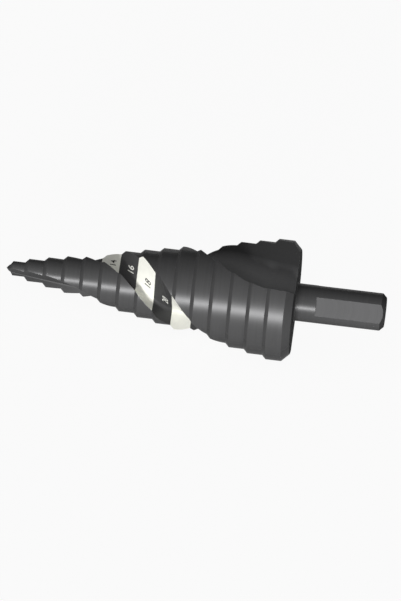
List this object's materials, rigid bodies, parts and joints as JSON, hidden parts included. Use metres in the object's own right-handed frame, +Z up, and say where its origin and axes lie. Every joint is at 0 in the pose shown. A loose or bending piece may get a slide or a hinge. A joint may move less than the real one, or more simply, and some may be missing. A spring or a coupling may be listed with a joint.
{
  "type": "step drill",
  "caption": "Stepped cone drill bit with helical flutes and a flatted round shank, for drilling and widening round holes in sheet metal.",
  "frame": {"origin": "centre of the bounding box's underside, on the surface that the drill lies on", "axes": "+X runs from the tip towards the shank, level; +Z is up; the drill's own axis lies in the XZ plane and rises 7.2 degrees towards the shank"},
  "size_m": [0.1004, 0.032, 0.0297],
  "materials": {
    "tool_steel": "satin black oxide over fine turning and grinding marks",
    "size_field": "matt white",
    "size_number": "matt black",
    "light_number": "matt pale grey"
  },
  "bodies": {
    "root": {"step_drill": "tool_steel"}
  },
  "joints": []
}
